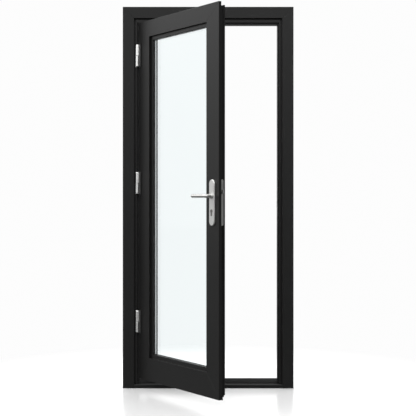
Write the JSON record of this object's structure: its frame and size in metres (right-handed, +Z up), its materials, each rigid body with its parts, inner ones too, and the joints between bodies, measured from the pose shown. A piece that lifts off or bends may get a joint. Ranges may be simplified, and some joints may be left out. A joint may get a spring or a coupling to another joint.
{
  "type": "glass door",
  "caption": "Single glazed metal door standing open in its mitred frame, with barrel hinges, a lever handle, a cylinder lock and a low threshold.",
  "frame": {"origin": "on the floor, in the middle of the threshold's underside", "axes": "+X from the hinge side to the lock side, +Y from the front to the back, +Z up"},
  "size_m": [0.94, 0.7173, 2.1],
  "materials": {
    "frame_coating": "satin black powder coat",
    "leaf_coating": "satin black powder coat",
    "seal_rubber": "matt black rubber",
    "black_plastic": "black plastic",
    "inner_aluminium": "mill",
    "hinge_silver": "bright satin",
    "lock_steel": "zinc plated",
    "handle_silver": "satin silver",
    "cylinder_nickel": "satin nickel on brass",
    "glass": "clear, faintly green"
  },
  "bodies": {
    "frame": {"hinge_jamb": "frame_coating", "lock_jamb": "frame_coating", "frame_head": "frame_coating", "frame_corner_cleats": "inner_aluminium", "threshold_ramp": "frame_coating", "threshold_upstand": "black_plastic", "hinge_jamb_gasket": "seal_rubber", "lock_jamb_gasket": "seal_rubber", "head_gasket": "seal_rubber", "strike_plate": "lock_steel", "strike_screws": "lock_steel", "frame_hinge_low": "hinge_silver", "frame_hinge_mid": "hinge_silver", "frame_hinge_top": "hinge_silver", "frame_hinge_screws": "lock_steel"},
    "leaf": {"hinge_stile": "leaf_coating", "lock_stile": "leaf_coating", "top_rail": "leaf_coating", "bottom_rail": "leaf_coating", "leaf_corner_cleats": "inner_aluminium", "outer_pane": "glass", "inner_pane": "glass", "spacer_bar": "inner_aluminium", "pane_edge_seal": "seal_rubber", "bead_hinge_side": "leaf_coating", "bead_lock_side": "leaf_coating", "bead_top": "leaf_coating", "bead_bottom": "leaf_coating", "outer_glazing_gasket": "seal_rubber", "inner_glazing_gasket": "seal_rubber", "glazing_packers": "black_plastic", "leaf_hinge_low": "hinge_silver", "leaf_hinge_mid": "hinge_silver", "leaf_hinge_top": "hinge_silver", "hinge_pins": "lock_steel", "hinge_washers": "black_plastic", "hinge_covers": "black_plastic", "leaf_hinge_screws": "lock_steel", "seal_carrier": "leaf_coating", "bottom_wiper": "seal_rubber", "lock_case": "lock_steel", "lock_faceplate": "lock_steel", "faceplate_screws": "lock_steel", "outer_handle_plate": "handle_silver", "inner_handle_plate": "handle_silver", "handle_plate_screws": "lock_steel", "cylinder_body": "cylinder_nickel", "cylinder_screw": "lock_steel"},
    "handle": {"outer_lever": "handle_silver", "lever_spindle": "lock_steel", "lock_follower": "lock_steel"},
    "latch": {"latch_bolt": "lock_steel"},
    "bolt": {"dead_bolt": "lock_steel"},
    "core": {"cylinder_plugs": "cylinder_nickel", "cylinder_cam": "lock_steel"}
  },
  "joints": [
    {"name": "door_swing", "type": "hinge", "parent": "frame", "child": "leaf", "pos_m": [-0.389, -0.044, 0], "axis": [0, 0, -1], "range_deg": [-56, 94]},
    {"name": "lever_turn", "type": "hinge", "parent": "leaf", "child": "handle", "pos_m": [0.02332, -0.63919, 1.057], "axis": [-0.829, -0.5592, 0], "range_deg": [0, 40], "stiffness_Nm_per_rad": 2.5, "springref_deg": -22.92},
    {"name": "latch_slide", "type": "slide", "parent": "leaf", "child": "latch", "axis": [-0.5592, 0.829, 0], "range_m": [0, 0.016]},
    {"name": "cylinder_turn", "type": "hinge", "parent": "leaf", "child": "core", "pos_m": [0.02332, -0.63919, 0.982], "axis": [-0.829, -0.5592, 0], "range_deg": [0, 360]},
    {"name": "bolt_slide", "type": "slide", "parent": "leaf", "child": "bolt", "axis": [0.5592, -0.829, 0], "range_m": [0, 0.02]}
  ],
  "couplings": [
    {"joint": "latch_slide", "follows": "lever_turn", "m_per_rad": 0.0229},
    {"joint": "cylinder_turn", "follows": "bolt_slide", "rad_per_m": 314.16}
  ]
}
